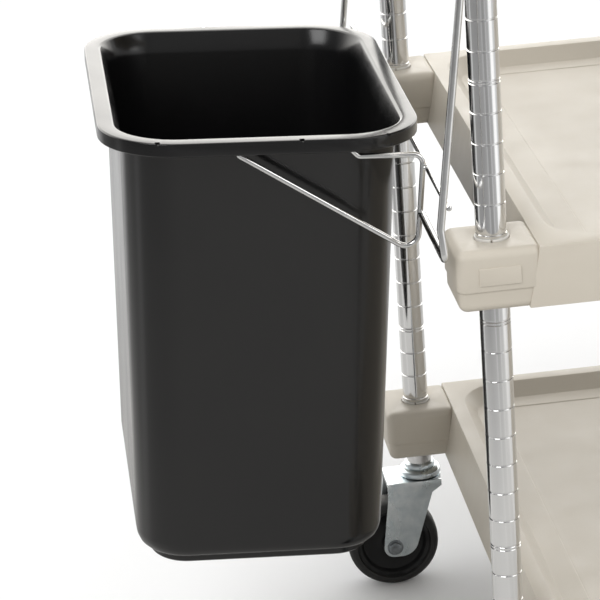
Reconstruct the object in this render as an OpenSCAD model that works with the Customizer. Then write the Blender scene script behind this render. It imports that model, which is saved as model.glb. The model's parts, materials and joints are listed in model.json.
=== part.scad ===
// Housekeeping cart: three moulded tray shelves on four grooved chrome posts, four swivel
// casters, and a waste bin that hangs from a wire holder at the left end.
// Frame: +X along the cart away from the bin, +Y to the rear, +Z up.
// Origin: floor level, middle of the whole object's box.

/* [Posts] */
// Distance between post axes along the cart
post_pitch_x = 762; // [600:1:900]
// Distance between post axes across the cart
post_pitch_y = 508; // [440:1:600]
// Outside diameter of a post
post_d = 25.4; // [24:0.1:28]
// Wall of a post tube
post_wall = 1.65; // [1.2:0.05:2.5]
// Height of the lower end of a post above the floor
post_bottom_z = 134; // [132:1:140]
// Height of the upper end of a post above the floor
post_top_z = 926; // [922:1:960]
// Distance between ring grooves
groove_pitch = 25.4; // [25:0.1:26]
// Height of a double groove above the floor
double_groove_z = 284; // [280:1:288]
// Depth of a ring groove
groove_depth = 0.5; // [0.3:0.1:0.8]

/* [Shelves] */
// Height of the top of the lowest shelf
shelf_low_z = 203; // [200:1:210]
// Height from one shelf to the next
shelf_step = 355.6; // [300:0.1:360]
// Depth of a shelf's edge
shelf_h = 52; // [48:1:56]
// Half the width of a corner block
block_half = 35; // [33:1:38]
// Depth of the tray
tray_depth = 14; // [10:1:18]
// Thickness of walls and floor
shelf_wall = 4; // [3:0.5:5]
// How far the end apron stands in from the post axis, at the top
apron_inset = 33; // [30:1:36]
// How much further out the apron's lower edge is
apron_draft = 10; // [4:1:12]

/* [Casters] */
// Diameter of a wheel
wheel_d = 95; // [90:1:100]
// Width of a wheel
wheel_w = 30; // [26:1:32]
// Distance of the wheel's axle behind the swivel axis
caster_trail = 33; // [28:1:38]
// Diameter of the axle
axle_d = 8; // [6:1:10]

/* [Bin and holder] */
// Length of the bin's rim along the cart
bin_w = 269; // [250:1:280]
// Length of the bin's rim across the cart
bin_d = 368; // [350:1:380]
// Height of the bin
bin_h = 392; // [370:1:400]
// Height of the middle of the bin's rim above the floor
bin_top_z = 635; // [632:1:640]
// Lean of the bin and its holder in degrees, outer end up
bin_tilt = 4.1; // [3:0.1:4.5]
// Gap from the bin's rim to the left post axes
bin_gap = 35.5; // [34:0.5:42]
// Diameter of the long hanger wires
hanger_d = 6.35; // [5.5:0.05:7]
// Diameter of the arm wires and the cross rod
arm_d = 4.8; // [4:0.1:5.5]

/* [Hidden] */
$fn = 48;

// Corners: name, step along X and step along Y
CORNERS = [["front_left", 0, 0], ["front_right", 1, 0], ["rear_left", 0, 1], ["rear_right", 1, 1]];
LEVELS = [["bottom", 0], ["middle", 1], ["top", 2]];

bin_mid = -bin_gap - bin_w / 2;                   // middle of the rim from the left post axes
rim_h = 12;
bin_out = bin_w / 2 * cos(bin_tilt) + rim_h * sin(bin_tilt) - bin_mid;  // outermost edge
object_l = bin_out + post_pitch_x + block_half;   // length of the whole object
left_x = bin_out - object_l / 2;                  // left post axes
front_y = -post_pitch_y / 2;                      // front post axes
post_r = post_d / 2;
tube_r = post_r - post_wall;
fit_gap = 0.05;                                   // running clearance on a radius

// Grooves
groove_w = 1.6;
double_step = 2.7;                                // between the two rings of a double groove
groove_first = ceil((post_bottom_z + 4 - double_groove_z) / groove_pitch);
groove_last = floor((post_top_z - 3 - double_groove_z) / groove_pitch);

// Split sleeves: the block's hole widens downward and the sleeve wedges in it
hole_top_r = 14.35;
hole_taper = 0.045;                               // growth of the radius for each mm down
sleeve_rise = 1.5;                                // sleeve above the block
sleeve_h = 45;
sleeve_slit = 1.6;
rib_drop = 20.3;                                  // inner rib below the block's top, in a groove

// Corner block edges
block_edge_r = 8;
block_top_r = 7;
block_low_r = 12;
step_drop = 34;                                   // the outer face steps in below this
step_in = 1.2;
plate_w = 34;
plate_h = 15;
plate_t = 0.6;
plate_gap = 5;                                    // plain plate above the step

// Tray
lip_w = 14;                                       // lip from the apron's face to the slope
long_lip_w = 15;                                  // lip along the front and rear
slope_w = 13;
tray_r = 34;
panel_in = 22;                                    // second, shallow step of the tray floor
panel_depth = 1;
rib_t = 3;
ribs_x = 7;                                       // pockets along the cart
ribs_y = 6;                                       // pockets across the cart

// Caster heights
wheel_r = wheel_d / 2;
race_r = 21.5;
race_low_z = 120.8;
race_top_z = 129;
collar_r = 15.5;
crown_top_z = 119.5;
crown_low_z = 114;
kingpin_r = 6;
kingpin_head_r = 10;
kingpin_head_h = 4;
leg_in = 19;                                      // inner face of a fork leg from the centre
leg_t = 3;
leg_low_r = 11;
stem_in = 52;                                     // stem inside the post
tyre_t = 9.5;
core_w = 23;
hub_r = 12;
axle_r = axle_d / 2;

// Bin
rim_w = 10.5;                                     // rim's edge to the wall at the mouth
skin = 3;                                         // wall of the bin
rim_r = 66;
neck_h = 20;                                      // the wall steps in below the rim
neck_in = 18.5;
foot_h = 8;
foot_in = 6;
base_in_x = 26;                                   // body at its foot, in from the rim
base_in_y = 20;
base_round = [[14, 0, 42], [5, 3, 39], [0, 8, 34]];  // height, step in and corner radius

// Holder, measured from the left post axes; pairs are x and z
arm_inset_y = (post_pitch_y - bin_d) / 2 + 8.5;   // arms under the rim, from the post axes
hanger_out_y = 39.6;                              // hangers outside the post axes
hanger_low = [-44.3, 556];
hanger_kink = [-46.8, 583];
hanger_slope = 0.13;                              // lean toward the cart for each mm up
hook_z = shelf_low_z + 2 * shelf_step + hanger_d / 2 + 0.3;
arm_low = [-49.6, 520.6];
arm_top = [-40, 607.6];
arm_jog = [-94, -105];                            // x where the top wire steps up under the rim
arm_tip_x = -205.4;
rod = [-37.6, 596];
rod_over = 30;                                    // rod's ends beyond the post axes
bend_steps = 5;
wire_sides = 16;

function unit(v) = v / norm(v);
function turn(a, b, c) = acos(unit(b - a) * unit(c - b));
function trim(a, b, c, r) = r * tan(turn(a, b, c) / 2);

module at_corner(c) {
    translate([left_x + c[1] * post_pitch_x, front_y + c[2] * post_pitch_y, 0]) children();
}

module rounded(w, d, r) {
    square([w - 2 * r, d], center = true);
    square([w, d - 2 * r], center = true);
    for (x = [-1, 1], y = [-1, 1]) translate([x * (w / 2 - r), y * (d / 2 - r)]) circle(r);
}

// Points of a round bend of radius bend at b, on the way from a to c
function bend_points(a, b, c, bend) =
    let (u = unit(b - a), n = unit(cross(u, unit(c - b))), side = cross(n, u), t = turn(a, b, c),
        m = b - u * trim(a, b, c, bend) + side * bend)
    [for (i = [0:bend_steps]) m - side * bend * cos(t * i / bend_steps)
        + u * bend * sin(t * i / bend_steps)];

// Centre line through points p, with a bend of radius bends[i] at point i; a closed one has no ends
function wire_line(p, bends, closed) =
    let (n = len(p))
    [for (i = [0:n - 1])
        if (!closed && (i == 0 || i == n - 1)) p[i]
        else each bend_points(p[(i + n - 1) % n], p[i], p[(i + 1) % n], bends[i])];

// Direction of a line of points at point i
function heading(q, i, closed) =
    let (n = len(q))
    unit(q[closed ? (i + 1) % n : min(i + 1, n - 1)] - q[closed ? (i + n - 1) % n : max(i - 1, 0)]);

// Wire of radius r through points p: one tube of wire_sides sides
module wire(p, bends, r, closed = false) {
    q = wire_line(p, bends, closed);
    n = len(q);
    k = wire_sides;
    w0 = heading(q, 0, closed);
    sides = [for (i = 0, s = unit(cross(w0, abs(w0[2]) < 0.9 ? [0, 0, 1] : [0, 1, 0])); i < n;
        i = i + 1, s = let (w = heading(q, min(i, n - 1), closed)) unit(s - w * (s * w))) s];
    rings = [for (i = [0:n - 1]) let (w = heading(q, i, closed), v = cross(w, sides[i]))
        for (j = [0:k - 1]) q[i] + r * (cos(360 * j / k) * sides[i] + sin(360 * j / k) * v)];
    last = closed ? n - 1 : n - 2;
    walls = [for (i = [0:last], j = [0:k - 1])
        let (a = i * k, b = ((i + 1) % n) * k, m = (j + 1) % k) [a + j, b + j, b + m, a + m]];
    ends = closed ? [] : [[for (j = [0:k - 1]) j], [for (j = [k - 1:-1:0]) (n - 1) * k + j]];
    polyhedron(rings, concat(walls, ends));
}

// Outline of a post wall with its grooves, x is the radius
function notch(z) = [[post_r, z - groove_w / 2], [post_r - groove_depth, z - groove_w / 2 + 0.3],
    [post_r - groove_depth, z + groove_w / 2 - 0.3], [post_r, z + groove_w / 2]];
function post_outline() = concat(
    [[tube_r, post_bottom_z], [post_r, post_bottom_z]],
    [for (k = [groove_first:groove_last])
        each (k % 8 == 0
            ? concat(notch(double_groove_z + k * groove_pitch - double_step / 2),
                notch(double_groove_z + k * groove_pitch + double_step / 2))
            : notch(double_groove_z + k * groove_pitch))],
    [[post_r, post_top_z], [tube_r, post_top_z]]);

module post(c) {
    color("lightsteelblue") at_corner(c) rotate_extrude() polygon(post_outline());
}

module cap(c) {
    color("dimgray") at_corner(c) rotate_extrude() difference() {
        union() {
            translate([0, post_top_z - 14]) square([tube_r - fit_gap, 14]);
            translate([0, post_top_z]) square([post_r + 0.6, 2]);
            intersection() {
                translate([0, post_top_z + 2]) square([post_r + 0.6, 5]);
                translate([0, post_top_z - 14]) circle(20.5);
            }
        }
        translate([0, post_top_z - 15]) square([tube_r - 2, 13]);
    }
}

// Sleeve around a post, shelf top at z
module sleeve(c, level) {
    z = shelf_low_z + level * shelf_step;
    low = sleeve_rise - sleeve_h;
    n = round((z - rib_drop - double_groove_z) / groove_pitch);
    rib = double_groove_z + n * groove_pitch - (n % 8 == 0 ? double_step / 2 : 0) - z;
    color("gainsboro") at_corner(c) translate([0, 0, z]) difference() {
        rotate_extrude() polygon([
            [post_r + fit_gap, low], [hole_top_r - fit_gap - hole_taper * low, low],
            [hole_top_r - fit_gap, 0], [hole_top_r - fit_gap, sleeve_rise],
            [post_r + fit_gap, sleeve_rise], [post_r + fit_gap, rib + 0.5],
            [post_r - groove_depth + 0.1, rib + 0.3],
            [post_r - groove_depth + 0.1, rib - 0.3],
            [post_r + fit_gap, rib - 0.5]]);
        translate([0, -sleeve_slit / 2, low - 1]) cube([20, sleeve_slit, sleeve_h + 2]);
    }
}

// Side outline of a block: x outward, y up from the shelf's top, stepped in and rounded below
module block_side() {
    low_half = block_half - step_in;
    translate([-block_half, -step_drop]) square([2 * block_half, step_drop - block_top_r]);
    translate([block_top_r - block_half, -step_drop]) square([2 * (block_half - block_top_r), step_drop]);
    translate([-low_half, block_low_r - shelf_h])
        square([2 * low_half, shelf_h - block_low_r - step_drop + 1]);
    translate([block_low_r - low_half, -shelf_h])
        square([2 * (low_half - block_low_r), shelf_h - step_drop]);
    for (s = [-1, 1]) {
        translate([s * (low_half - block_low_r), block_low_r - shelf_h]) circle(block_low_r);
        translate([s * (block_half - block_top_r), -block_top_r]) circle(block_top_r);
    }
}

// One corner block about its post axis; out is the side away from the cart's middle in Y
module block(out) {
    intersection() {
        translate([0, 0, -shelf_h]) linear_extrude(shelf_h)
            rounded(2 * block_half, 2 * block_half, block_edge_r);
        rotate([90, 0, 0]) translate([0, 0, -block_half]) linear_extrude(2 * block_half)
            block_side();
        rotate([90, 0, 90]) translate([0, 0, -block_half]) linear_extrude(2 * block_half) {
            block_side();
            translate([(-out - 1) * block_half / 2, -shelf_h]) square([block_half, shelf_h / 2]);
        }
    }
    translate([-plate_w / 2, out > 0 ? block_half - 1 : -block_half - plate_t, plate_gap - step_drop])
        cube([plate_w, plate_t + 1, plate_h]);
}

// Bore of a corner block, widening downward
module sleeve_hole() {
    translate([0, 0, -shelf_h - 1])
        cylinder(r1 = hole_top_r + hole_taper * (shelf_h + 1), r2 = hole_top_r - hole_taper,
            h = shelf_h + 2);
}

// Tray slab between the blocks, in shelf coordinates: left front post axis, shelf's top
module slab() {
    far_x = post_pitch_x;
    translate([0, post_pitch_y + block_half, 0]) rotate([90, 0, 0])
        linear_extrude(post_pitch_y + 2 * block_half) {
            polygon([[apron_inset + 2, 0], [apron_inset, -2], [apron_inset - apron_draft, 3 - shelf_h],
                [apron_inset - apron_draft + 3, -shelf_h],
                [far_x - apron_inset + apron_draft - 3, -shelf_h],
                [far_x - apron_inset + apron_draft, 3 - shelf_h], [far_x - apron_inset, -2],
                [far_x - apron_inset - 2, 0]]);
        }
}

// Recess of the tray: a sloped wall down to the floor, and a shallow step in the floor
module recess() {
    in_x = apron_inset + lip_w;
    in_y = long_lip_w - block_half;
    w = post_pitch_x - 2 * in_x;
    d = post_pitch_y - 2 * in_y;
    translate([post_pitch_x / 2, post_pitch_y / 2, 0]) {
        hull() {
            linear_extrude(0.5) rounded(w, d, tray_r + slope_w, $fn = 32);
            translate([0, 0, -tray_depth])
                linear_extrude(0.1) rounded(w - 2 * slope_w, d - 2 * slope_w, tray_r, $fn = 32);
        }
        translate([0, 0, -tray_depth - panel_depth]) linear_extrude(panel_depth + 1)
            rounded(w - 2 * slope_w - 2 * panel_in, d - 2 * slope_w - 2 * panel_in, tray_r - 14);
    }
}

// Pockets under the tray, between its ribs
module pockets() {
    x0 = apron_inset + 7;
    y0 = shelf_wall - block_half;
    px = (post_pitch_x - 2 * x0 + rib_t) / ribs_x;
    py = (post_pitch_y - 2 * y0 + rib_t) / ribs_y;
    for (i = [0:ribs_x - 1], j = [0:ribs_y - 1])
        translate([x0 + i * px, y0 + j * py, -shelf_h - 1])
            cube([px - rib_t, py - rib_t, shelf_h + 1 - tray_depth - panel_depth - shelf_wall]);
}

// Moulded shelf; level counts up from the lowest
module shelf(level) {
    color("tan") translate([left_x, front_y, shelf_low_z + level * shelf_step]) difference() {
        union() {
            difference() {
                slab();
                recess();
                pockets();
            }
            for (c = CORNERS) translate([c[1] * post_pitch_x, c[2] * post_pitch_y, 0])
                block(c[2] == 0 ? -1 : 1);
        }
        for (c = CORNERS) translate([c[1] * post_pitch_x, c[2] * post_pitch_y, 0]) sleeve_hole();
    }
}

// Caster stem in the post, with collar, upper race, kingpin and its head
module stem(c) {
    head_z = crown_low_z - 0.3;
    color("silver") at_corner(c) rotate_extrude() polygon([
        [0, head_z - kingpin_head_h], [kingpin_head_r, head_z - kingpin_head_h],
        [kingpin_head_r, head_z], [kingpin_r, head_z], [kingpin_r, race_low_z],
        [race_r, race_low_z], [race_r, race_top_z - 3], [race_r - 3, race_top_z],
        [collar_r, race_top_z], [collar_r, post_bottom_z], [tube_r - fit_gap, post_bottom_z],
        [tube_r - fit_gap, post_bottom_z + stem_in - 3], [tube_r - 3, post_bottom_z + stem_in],
        [0, post_bottom_z + stem_in]]);
}

// Side outline of a fork leg: x from the swivel axis, y is the height
module leg_outline() {
    axle_z = wheel_r;
    hull() {
        translate([-caster_trail - 2, axle_z]) circle(leg_low_r, $fn = 32);
        translate([-caster_trail + 9, axle_z + 3]) circle(leg_low_r, $fn = 32);
        translate([-37, crown_low_z - 8]) square([46, 1]);
    }
    polygon([[-37, crown_low_z - 8], [9, crown_low_z - 8], [19, crown_low_z - 1], [19, crown_top_z],
        [-37, crown_top_z]]);
}

// Swivel fork: crown plate with the kingpin's bore, two legs with the axle's bore
module fork(c) {
    color("lightblue") at_corner(c) difference() {
        union() {
            translate([0, 0, crown_low_z]) cylinder(r = race_r, h = crown_top_z - crown_low_z);
            translate([-37, -leg_in - 1, crown_low_z])
                cube([37, 2 * leg_in + 2, crown_top_z - crown_low_z]);
            for (y = [-leg_in, leg_in + leg_t]) translate([0, y, 0]) rotate([90, 0, 0])
                linear_extrude(leg_t) leg_outline();
        }
        translate([0, 0, crown_low_z - 1]) cylinder(r = kingpin_r + fit_gap, h = 10);
        translate([-caster_trail, 40, wheel_r]) rotate([90, 0, 0]) cylinder(r = axle_r, h = 80);
    }
}

// Axle bolt with its head on the front side
module axle(c) {
    out = leg_in + leg_t;
    color("gray") at_corner(c) translate([-caster_trail, 0, wheel_r]) rotate([90, 0, 0]) {
        translate([0, 0, -out - 8]) cylinder(r = axle_r, h = 2 * out + 8);
        translate([0, 0, out]) cylinder(r = 7.2, h = 4, $fn = 6);
    }
}

module nut(c) {
    out = leg_in + leg_t;
    color("gray") at_corner(c) translate([-caster_trail, out, wheel_r]) rotate([-90, 0, 0]) difference() {
        cylinder(r = 7.2, h = 6, $fn = 6);
        translate([0, 0, -1]) cylinder(r = axle_r, h = 8);
    }
}

// Wheel core: a web, a hub that reaches the fork legs, and a rim under the tyre
module wheel(c) {
    rim_in = wheel_r - tyre_t - 5;
    rim_out = wheel_r - tyre_t;
    hub_w = 2 * leg_in - 0.6;
    color("#1c1c1c") at_corner(c) translate([-caster_trail, 0, wheel_r]) rotate([90, 0, 0])
        rotate_extrude($fn = 96) polygon([
            [axle_r + fit_gap, -hub_w / 2], [hub_r, -hub_w / 2], [hub_r + 2, -8], [rim_in - 2, -6],
            [rim_in, -core_w / 2], [rim_out, -core_w / 2], [rim_out, core_w / 2], [rim_in, core_w / 2],
            [rim_in - 2, 6], [hub_r + 2, 8], [hub_r, hub_w / 2], [axle_r + fit_gap, hub_w / 2]]);
}

module tyre(c) {
    low_r = wheel_r - tyre_t + 2 * fit_gap;
    edge = 4.6;
    color("#262626") at_corner(c) translate([-caster_trail, 0, wheel_r]) rotate([90, 0, 0])
        rotate_extrude($fn = 96) {
            translate([low_r, -wheel_w / 2]) square([tyre_t - edge, wheel_w]);
            translate([low_r, edge - wheel_w / 2]) square([tyre_t, wheel_w - 2 * edge]);
            for (s = [-1, 1]) translate([wheel_r - edge, s * (wheel_w / 2 - edge)]) circle(edge);
        }
}

// The holder's pieces for the rear are the front ones mirrored across the cart
module on_side(rear) {
    translate([left_x, 0, 0]) mirror([0, rear ? 1 : 0, 0]) translate([0, front_y, 0]) children();
}

// Long hanger: hook round the post above the top shelf, leaning wire, bend back to the arm
module holder_hanger(rear) {
    y = -hanger_out_y;
    top_x = hanger_kink[0] + (hook_z - hanger_kink[1]) * hanger_slope;
    hook_r = post_r + hanger_d / 2 + 1.6;
    color("silver") on_side(rear) wire([
        [hook_r, 14, hook_z], [hook_r, -12, hook_z], [top_x, y, hook_z],
        [hanger_kink[0], y, hanger_kink[1]], [hanger_low[0], y, hanger_low[1]],
        [hanger_low[0], arm_inset_y - arm_d / 2 + 0.3, hanger_low[1]]], [0, 8, 8, 12, 7, 0],
        hanger_d / 2);
}

// Height of an arm wire's centre under the leaning rim
function under_rim(x) = bin_top_z - (x - bin_mid) * tan(bin_tilt) - skin / cos(bin_tilt)
    - arm_d / 2 - 0.3;

// Triangular arm that carries one side of the bin's rim
module holder_arm(rear) {
    y = arm_inset_y;
    jog_z = arm_top[1] + (arm_top[0] - arm_jog[0]) * tan(bin_tilt);
    color("silver") on_side(rear) wire([
        [arm_low[0], y, arm_low[1]], [arm_top[0], y, arm_top[1]], [arm_jog[0], y, jog_z],
        [arm_jog[1], y, under_rim(arm_jog[1])], [arm_tip_x, y, under_rim(arm_tip_x)]],
        [11, 8, 5, 5, 5], arm_d / 2, closed = true);
}

module holder_cross_rod() {
    half = post_pitch_y / 2 + rod_over;
    color("silver") translate([left_x + rod[0], 0, rod[1]]) {
        rotate([90, 0, 0]) translate([0, 0, -half]) cylinder(r = arm_d / 2, h = 2 * half, $fn = 24);
        for (s = [-1, 1]) translate([0, s * half, 0]) sphere(arm_d / 2, $fn = 24);
    }
}

// A horizontal slice of the bin, w by d with corners of radius r, between two heights
module bin_slice(w, d, r, z, h) {
    translate([0, 0, z]) linear_extrude(h) rounded(w, d, r, $fn = 32);
}

// A slice of the bin's wall, in from the rim by x and y and shrunk by t on every side
module wall_slice(x, y, r, t, z) {
    bin_slice(bin_w - 2 * (x + t), bin_d - 2 * (y + t), r - t, z, 0.5);
}

// Body of the bin between its foot and its rim, shrunk by t on every side
module bin_body(t, low) {
    hull() {
        wall_slice(rim_w, rim_w, rim_r - rim_w, t, bin_h - 0.5);
        wall_slice(neck_in, neck_in, rim_r - neck_in, t, bin_h - neck_h);
    }
    hull() {
        wall_slice(neck_in, neck_in, rim_r - neck_in, t, bin_h - neck_h);
        for (v = base_round) wall_slice(base_in_x + v[1], base_in_y + v[1], v[2], t, low + v[0]);
    }
}

// Waste bin: tapered body, a rim turned down all round, and a foot set in under the body
module bin() {
    foot_x = base_in_x + base_round[2][1] + foot_in;
    foot_y = base_in_y + base_round[2][1] + foot_in;
    mouth = rim_w + skin;
    color("#1a1a1a") translate([left_x + bin_mid, 0, bin_top_z]) rotate([0, bin_tilt, 0])
        translate([0, 0, -bin_h]) difference() {
            union() {
                bin_body(0, foot_h);
                bin_slice(bin_w - 2 * foot_x, bin_d - 2 * foot_y, 28, 0, foot_h + 1);
                difference() {
                    bin_slice(bin_w, bin_d, rim_r, bin_h - rim_h, rim_h);
                    bin_slice(bin_w - 2 * skin, bin_d - 2 * skin, rim_r - skin, bin_h - rim_h - 1,
                        rim_h + 1 - skin);
                }
            }
            bin_body(skin, foot_h + skin);
            bin_slice(bin_w - 2 * mouth, bin_d - 2 * mouth, rim_r - mouth, bin_h - 1, 2);
        }
}

for (v = LEVELS) {
    shelf(v[1]);
    for (c = CORNERS) sleeve(c, v[1]);
}
for (c = CORNERS) {
    post(c);
    cap(c);
    stem(c);
    fork(c);
    axle(c);
    nut(c);
    wheel(c);
    tyre(c);
}
holder_hanger(false);  // holder_hanger_front
holder_hanger(true);  // holder_hanger_rear
holder_arm(false);  // holder_arm_front
holder_arm(true);  // holder_arm_rear
holder_cross_rod();
bin();
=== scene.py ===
# %% [markdown]
# # A housekeeping cart with a bin on its end
# The cart is three moulded tray shelves on four grooved chrome posts, with swivel casters, a bent wire
# holder and a black waste bin. The mechanical model comes in first as a fixed frame. Every piece that is
# modelled here takes its place and its size from that frame.

# %% Load the frame
import json
import math

import bmesh
import bpy
from mathutils import Matrix, Vector


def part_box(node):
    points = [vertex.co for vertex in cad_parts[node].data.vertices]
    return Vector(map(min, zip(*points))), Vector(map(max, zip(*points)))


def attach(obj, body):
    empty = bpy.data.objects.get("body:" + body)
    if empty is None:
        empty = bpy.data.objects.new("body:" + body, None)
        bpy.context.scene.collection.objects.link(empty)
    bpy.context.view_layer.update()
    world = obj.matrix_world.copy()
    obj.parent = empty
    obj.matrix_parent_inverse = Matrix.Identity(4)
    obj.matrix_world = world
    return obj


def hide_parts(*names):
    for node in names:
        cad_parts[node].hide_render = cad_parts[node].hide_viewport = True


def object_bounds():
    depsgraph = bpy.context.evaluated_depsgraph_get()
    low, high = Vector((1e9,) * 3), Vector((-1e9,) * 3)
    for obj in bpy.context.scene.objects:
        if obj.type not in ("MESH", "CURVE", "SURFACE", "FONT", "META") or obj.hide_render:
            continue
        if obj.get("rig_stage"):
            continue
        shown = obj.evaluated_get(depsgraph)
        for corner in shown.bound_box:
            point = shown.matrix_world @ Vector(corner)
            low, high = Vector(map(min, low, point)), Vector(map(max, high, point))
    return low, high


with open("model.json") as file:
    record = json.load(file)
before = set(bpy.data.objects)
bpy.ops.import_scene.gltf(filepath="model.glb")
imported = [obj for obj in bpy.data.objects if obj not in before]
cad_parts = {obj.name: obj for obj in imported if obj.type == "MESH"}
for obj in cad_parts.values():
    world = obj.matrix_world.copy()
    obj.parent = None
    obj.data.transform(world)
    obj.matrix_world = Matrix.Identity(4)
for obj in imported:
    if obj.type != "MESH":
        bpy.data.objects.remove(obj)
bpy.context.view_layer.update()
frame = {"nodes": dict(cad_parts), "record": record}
bpy.ops.object.select_all(action="DESELECT")
MM = 0.001
CORNERS = ("front_left", "front_right", "rear_left", "rear_right")
LEVELS = ("bottom", "middle", "top")

# %% [markdown]
# ## Camera
# A long lens a little above the cart looks down on its left end, from about two metres away. The camera is
# rolled a little, so its aim is built from three turns: the turn about the vertical, the look down and the
# roll about its own line of sight.

# %% Camera
LENS = 161.0
EYE = Vector((-0.588, -2.261, 1.298))
TURN, DOWN, ROLL = 0.0914, 0.3678, 0.0737

cam = bpy.data.cameras.new("camera")
cam.lens = LENS
cam.sensor_width = 36.0
cam.clip_end = 60.0
camera = bpy.data.objects.new("camera", cam)
bpy.context.scene.collection.objects.link(camera)
aim = (Matrix.Rotation(-TURN, 4, "Z") @ Matrix.Rotation(math.pi / 2 - DOWN, 4, "X")
       @ Matrix.Rotation(-ROLL, 4, "Z"))
camera.matrix_world = Matrix.Translation(EYE) @ aim
bpy.context.scene.camera = camera
print("camera at", EYE)

# %% [markdown]
# ## Connecting nodes
# Materials are built in code, so three short helpers add a node with its settings, join two sockets, and
# start a shared group. A group is one effect, such as grain or dust, made once and used in many finishes.

# %% Node helpers
def add(tree, kind, **settings):
    node = tree.nodes.new("ShaderNode" + kind)
    for key, value in settings.items():
        setattr(node, key, value)
    return node


def join(tree, *pairs):
    for source, target in pairs:
        tree.links.new(source, target)


def start_group(name, takes, gives):
    """A node group. takes: (name, kind, value); gives: (name, kind)."""
    tree = bpy.data.node_groups.new(name, "ShaderNodeTree")
    for title, kind, value in takes:
        socket = tree.interface.new_socket(title, in_out="INPUT", socket_type="NodeSocket" + kind)
        socket.default_value = value
    for title, kind in gives:
        tree.interface.new_socket(title, in_out="OUTPUT", socket_type="NodeSocket" + kind)
    return tree, tree.nodes.new("NodeGroupInput").outputs, tree.nodes.new("NodeGroupOutput").inputs


def ramp(tree, source, stops):
    """A colour ramp of grey or coloured stops: (place, grey) or (place, (r, g, b))."""
    node = add(tree, "ValToRGB")
    marks = node.color_ramp.elements
    while len(marks) < len(stops):
        marks.new(1.0)
    for mark, (place, tone) in zip(marks, stops):
        mark.position = place
        mark.color = (*tone, 1) if isinstance(tone, tuple) else (tone, tone, tone, 1)
    join(tree, (source, node.inputs["Fac"]))
    return node.outputs["Color"]

# %% [markdown]
# ## Floor and light
# The floor is a plain white sheet under a bright dome, with two large soft lamps, as in a small product
# studio. Chrome is a mirror, so it looks like nothing unless something stands round it, and in a real studio
# that is a set of grey cards. Here the floor and the dome show wedges of grey to mirror rays only, all round
# the cart, and the eye sees them as the streaks that run up the posts. Close to the cart the floor is one
# light grey, which the foot of each post shows.

# %% Wedges of grey round the set
def bearing(tree, x, y):
    """Bearing round the set from 0 to 1; 0.5 is straight in front, and it grows to the right."""
    back = add(tree, "Math", operation="MULTIPLY")
    back.inputs[1].default_value = -1.0
    angle = add(tree, "Math", operation="ARCTAN2")
    turn = add(tree, "Math", operation="MULTIPLY_ADD")
    turn.inputs[1].default_value = 1 / (2 * math.pi)
    turn.inputs[2].default_value = 0.5
    join(tree, (y, back.inputs[0]), (x, angle.inputs[0]), (back.outputs[0], angle.inputs[1]),
         (angle.outputs[0], turn.inputs[0]))
    return turn.outputs[0]


WEDGES = [(0.00, 0.80), (0.13, 0.85), (0.16, 0.30), (0.225, 0.24), (0.235, 0.60), (0.25, 0.60),
          (0.262, 0.24), (0.37, 0.20), (0.44, 0.26), (0.455, 0.42), (0.47, 0.22), (0.51, 0.24),
          (0.525, 0.50), (0.54, 0.34), (0.585, 0.38), (0.60, 1.0), (0.655, 1.0), (0.68, 0.58),
          (0.80, 0.62), (0.84, 0.48), (0.87, 0.66), (1.00, 0.80)]

bpy.context.scene.view_settings.view_transform = "Standard"
bpy.ops.mesh.primitive_circle_add(vertices=64, radius=12, fill_type="NGON", location=(0, 0, 0))
floor = bpy.context.object
floor.name = "floor"
floor_mat = bpy.data.materials.new("floor_white")
floor_mat.use_nodes = True
tree = floor_mat.node_tree
sheet = tree.nodes["Principled BSDF"]
sheet.inputs["Roughness"].default_value = 0.8
place = add(tree, "TexCoord")
axes = add(tree, "SeparateXYZ")
ray = add(tree, "LightPath")
seen = add(tree, "Mix", data_type="RGBA")
seen.inputs["A"].default_value = (0.55, 0.54, 0.52, 1)
seen.inputs["B"].default_value = (1.0, 1.0, 1.0, 1)
look = add(tree, "Mix", data_type="RGBA")
reach = add(tree, "VectorMath", operation="LENGTH")
close = add(tree, "MapRange")
for title, value in (("From Min", 0.9), ("From Max", 1.7), ("To Min", 0.8), ("To Max", 0.0)):
    close.inputs[title].default_value = value
ground = add(tree, "Mix", data_type="RGBA")
ground.inputs["B"].default_value = (0.66, 0.65, 0.63, 1)
join(tree, (place.outputs["Object"], axes.inputs[0]), (ray.outputs["Is Glossy Ray"], look.inputs["Factor"]),
     (place.outputs["Object"], reach.inputs[0]), (reach.outputs["Value"], close.inputs["Value"]),
     (ray.outputs["Is Camera Ray"], seen.inputs["Factor"]), (seen.outputs["Result"], look.inputs["A"]),
     (ramp(tree, bearing(tree, axes.outputs["X"], axes.outputs["Y"]), WEDGES), ground.inputs["A"]),
     (close.outputs["Result"], ground.inputs["Factor"]), (ground.outputs["Result"], look.inputs["B"]),
     (look.outputs["Result"], sheet.inputs["Base Color"]))
floor.data.materials.append(floor_mat)
floor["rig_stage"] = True

# %% Dome
DOME = 0.90
BACK_PANEL = 3.4

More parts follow.
